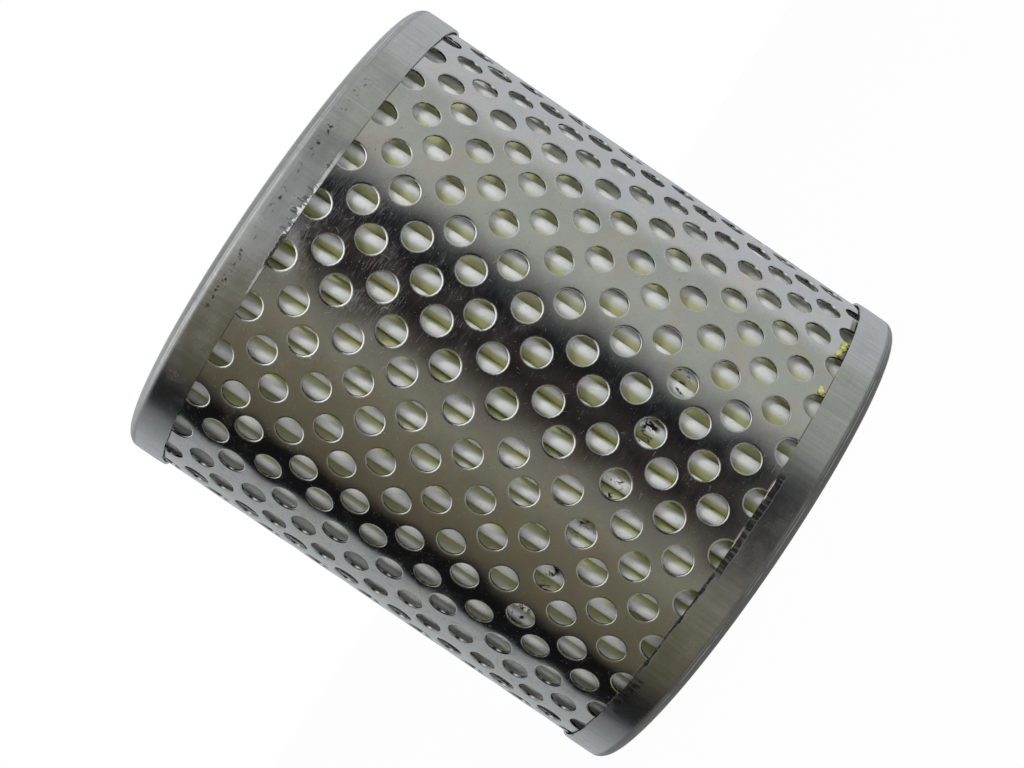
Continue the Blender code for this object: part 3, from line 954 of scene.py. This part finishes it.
def make_room():
    """Even studio light, in which metal sees a white room with dark screens."""
    world = bpy.data.worlds.new("studio")
    bpy.context.scene.world = world
    world.use_nodes = True
    f = Finish("studio", world.node_tree)
    x, y, z = f.parts(f.node("TexCoord", out="Generated"))
    turn = f.node("Math", {"operation": "ARCTAN2"}, {0: 0.0 - x, 1: 0.0 - y}) / math.tau + 0.5

    def met(facing):
        """The direction that the camera sees in the side of the guard that faces so many degrees."""
        side = math.radians(facing)
        slant = math.atan2(math.sin(side), CAMERA_DISTANCE / GUARD_RADIUS - math.cos(side))
        return (2 * side + slant) / math.tau + 0.5

    # What the side of the guard mirrors, from where it faces +X round the front to where it faces -X
    screens = f.node("ValToRGB", {"stops": [
        (met(-80), (0.52, 0.545, 0.575)),
        (met(-64), (0.65, 0.665, 0.70)),
        (met(-48.5), (0.70, 0.715, 0.735)),
        (met(-44), (0.50, 0.52, 0.48)),
        (met(-29), (0.53, 0.54, 0.50)),
        (met(-23), (0.46, 0.47, 0.43)),
        (met(-19), (0.26, 0.26, 0.25)),
        (met(-15.5), (0.060, 0.062, 0.066)),
        (met(-13), (0.016, 0.017, 0.020)),
        (met(-9), (0.018, 0.016, 0.018)),
        (met(-6), (0.048, 0.036, 0.036)),
        (met(-1), (0.022, 0.018, 0.020)),
        (met(4), (0.085, 0.070, 0.060)),
        (met(8), (0.22, 0.21, 0.18)),
        (met(14), (0.28, 0.27, 0.21)),
        (met(20), (0.21, 0.195, 0.137)),
        (met(29), (0.17, 0.155, 0.105)),
        (met(36), (0.13, 0.114, 0.077)),
        (met(39), (0.055, 0.050, 0.040)),
        (met(41), (0.008, 0.008, 0.008)),
        (met(50.9), (0.011, 0.011, 0.013)),
        (met(51.6), (0.12, 0.12, 0.125)),
        (met(52.4), (0.33, 0.34, 0.35)),
        (met(56), (0.46, 0.48, 0.49)),
        (met(76), (0.53, 0.56, 0.58)),
    ]}, {0: turn}, "Color")
    above = f.rise(z, 0.145, 0.185) * (0.44 + 0.20 * f.rise(turn, met(-9), met(0)))
    below = f.rise(0.0 - z, 0.12, 0.16) * 0.075
    ahead = f.rise(turn, met(-17), met(-14)) * (1 - f.rise(turn, met(6), met(12)))
    screens = f.node("Mix", {"data_type": "RGBA", "blend_type": "LIGHTEN"},
                     {0: 1.0, 6: screens, 7: f.grey((above + below) * ahead)}, 2)
    # Above the screens a bright ceiling with a lamp in front, and below them a grey floor
    seen = f.mix(f.rise(z, 0.24, 0.42), screens, (0.85, 0.87, 0.88))
    fading = 0.35 * f.rise(turn, met(22), met(32)) + 0.65 * f.rise(turn, met(50), met(62))
    near = f.rise(turn, met(-24), met(-16)) * (1 - fading)
    seen = f.mix(f.within(z, 0.42, 0.72, 0.08) * near, seen, (1.7, 1.72, 1.72))
    seen = f.mix(f.rise(z, 0.76, 0.92), seen, (0.6, 0.61, 0.62))
    seen = f.mix(f.rise(0.0 - z, 0.28, 0.50), seen, (0.42, 0.42, 0.41))
    # Mirrored and refracted rays see the room, the camera sees white, and matt faces get soft light
    camera = f.node("LightPath", out="Is Camera Ray")
    glossy = f.node("LightPath", out="Is Glossy Ray")
    clear = f.node("LightPath", out="Is Transmission Ray")
    soft = f.mix(f.rise(x, -0.95, 0.05), (0.08, 0.08, 0.08), (0.60, 0.60, 0.60))
    colour = f.mix(f.node("Math", {"operation": "MAXIMUM"}, {0: glossy, 1: clear}), soft, seen)
    colour = f.mix(camera, colour, (1.0, 1.0, 1.0))
    f.feed(f.tree.nodes["Background"].inputs["Color"], colour)


def make_lamp(name, place, size, power):
    """A soft lamp that points at the middle of the filter and is not seen in the metal."""
    light = bpy.data.lights.new(name, "AREA")
    light.shape = "DISK"
    light.size = size
    light.energy = power
    lamp = bpy.data.objects.new(name, light)
    bpy.context.collection.objects.link(lamp)
    aim = Vector((0, 0, MIDDLE)) - Vector(place)
    lamp.location = place
    lamp.visible_glossy = False
    lamp.rotation_euler = aim.to_track_quat("-Z", "Y").to_euler()


def make_floor():
    """A round pale floor, nearly white to the camera and not seen in the metal."""
    clear_selection()
    bpy.ops.mesh.primitive_circle_add(vertices=96, radius=3.0, fill_type="NGON", location=(0, 0, -0.0001))
    floor = named("floor")
    bpy.ops.object.transform_apply(location=True)
    bpy.ops.object.mode_set(mode="EDIT")
    bpy.ops.mesh.select_all(action="SELECT")
    bpy.ops.mesh.inset(thickness=0.4)
    bpy.ops.object.mode_set(mode="OBJECT")
    f = Finish("floor")
    mottle = f.noise(f.place(), 30, 3, 0.5)
    f.surface(Base_Color=f.mix(mottle, (0.90, 0.90, 0.90), (0.94, 0.94, 0.94)), Roughness=0.9)
    white = f.node("Emission", None, {"Color": (1.0, 1.0, 1.0), "Strength": 1.0})
    camera = f.node("LightPath", out="Is Camera Ray")
    both = f.node("MixShader", None, {0: camera * 0.97, 1: Channel(f, f.shader.outputs[0]), 2: white})
    f.feed(f.tree.nodes["Material Output"].inputs["Surface"], both)
    floor.data.materials.append(f.material)
    floor.visible_glossy = False


def make_camera():
    """The camera of the photograph: level with the middle, and rolled."""
    forward = Vector((0, math.cos(CAMERA_TILT), -math.sin(CAMERA_TILT)))
    level = Vector((1, 0, 0))
    upright = Vector((0, math.sin(CAMERA_TILT), math.cos(CAMERA_TILT)))
    right = math.cos(CAMERA_ROLL) * level - math.sin(CAMERA_ROLL) * upright
    top = math.sin(CAMERA_ROLL) * level + math.cos(CAMERA_ROLL) * upright
    place = Vector((0, 0, CAMERA_HEIGHT)) - CAMERA_DISTANCE * forward
    data = bpy.data.cameras.new("camera")
    data.lens = CAMERA_LENS
    data.sensor_width = 36.0
    data.clip_start = 0.01
    camera = bpy.data.objects.new("camera", data)
    bpy.context.collection.objects.link(camera)
    camera.matrix_world = Matrix.Translation(place) @ Matrix((right, top, -forward)).transposed().to_4x4()
    bpy.context.scene.camera = camera


def main():
    """Make every piece, then the room around it."""
    bpy.context.scene.view_settings.view_transform = "Standard"
    make_camera()
    make_room()
    make_floor()
    make_lamp("key_light", (0.35, -0.75, 0.62), 0.3, 3.2)

    steel = cap_steel()
    glue = adhesive()
    black = rubber()
    fit(make_guard(), "tinplate", tinplate(), "outer_guard")
    fit(make_tube(), "tube_steel", tube_steel(), "centre_tube")
    fit(make_pleats(), "filter_paper", filter_paper(), "pleated_media")
    fit(make_cap("fine_lower_cap", cap_section()), "cap_steel", steel, "lower_end_cap")
    fit(make_cap("fine_upper_cap", flipped(cap_section())), "cap_steel", steel, "upper_end_cap")
    fit(make_seal("fine_lower_seal", seal_section()), "rubber", black, "lower_seal")
    fit(make_seal("fine_upper_seal", flipped(seal_section())), "rubber", black, "upper_seal")
    fit(make_crumbs(), "adhesive", glue)
    for name in ("lower_potting", "upper_potting"):
        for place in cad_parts[name].material_slots:
            place.material = glue

    bpy.context.view_layer.update()


main()
